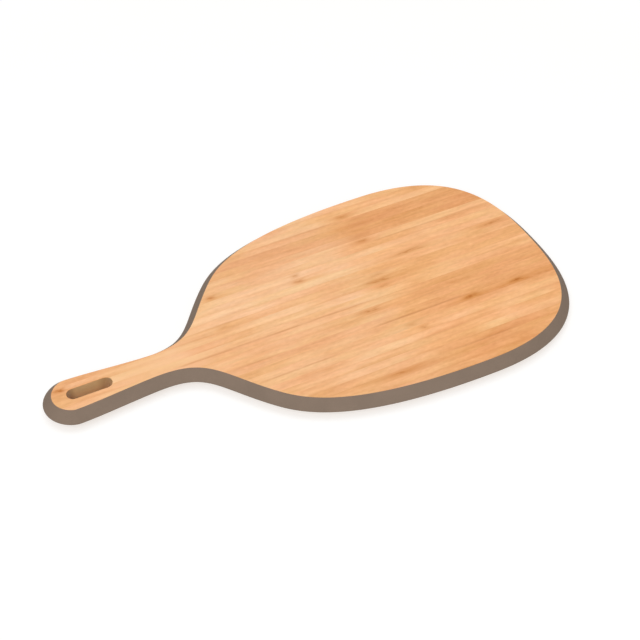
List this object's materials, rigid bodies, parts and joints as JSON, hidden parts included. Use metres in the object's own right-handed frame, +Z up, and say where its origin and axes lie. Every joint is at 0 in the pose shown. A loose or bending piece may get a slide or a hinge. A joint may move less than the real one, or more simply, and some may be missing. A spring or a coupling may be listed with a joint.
{
  "type": "bread board",
  "caption": "Paddle-shaped bread board of edge-pressed bamboo strips with a slim handle, a hanging slot and a bevelled taupe edge band.",
  "frame": {"origin": "centre of the board's outline, on the surface that it lies on", "axes": "+X along the board from the handle to the far end, +Y to its left, +Z up out of the top face"},
  "size_m": [0.4, 0.215, 0.015],
  "materials": {
    "bamboo": "caramel edge-pressed bamboo, sanded flush and oiled",
    "edge_band": "matte taupe"
  },
  "bodies": {
    "root": {"strip_centre_tip": "bamboo", "strip_centre": "bamboo", "strip_left_01": "bamboo", "strip_left_02": "bamboo", "strip_left_03": "bamboo", "strip_left_04": "bamboo", "strip_left_05": "bamboo", "strip_left_06": "bamboo", "strip_left_07": "bamboo", "strip_left_08": "bamboo", "strip_left_09": "bamboo", "strip_left_10": "bamboo", "strip_left_11": "bamboo", "strip_left_12": "bamboo", "strip_left_13": "bamboo", "strip_left_14": "bamboo", "strip_left_15": "bamboo", "strip_right_01": "bamboo", "strip_right_02": "bamboo", "strip_right_03": "bamboo", "strip_right_04": "bamboo", "strip_right_05": "bamboo", "strip_right_06": "bamboo", "strip_right_07": "bamboo", "strip_right_08": "bamboo", "strip_right_09": "bamboo", "strip_right_10": "bamboo", "strip_right_11": "bamboo", "strip_right_12": "bamboo", "strip_right_13": "bamboo", "strip_right_14": "bamboo", "strip_right_15": "bamboo", "edge_band": "edge_band"}
  },
  "joints": []
}
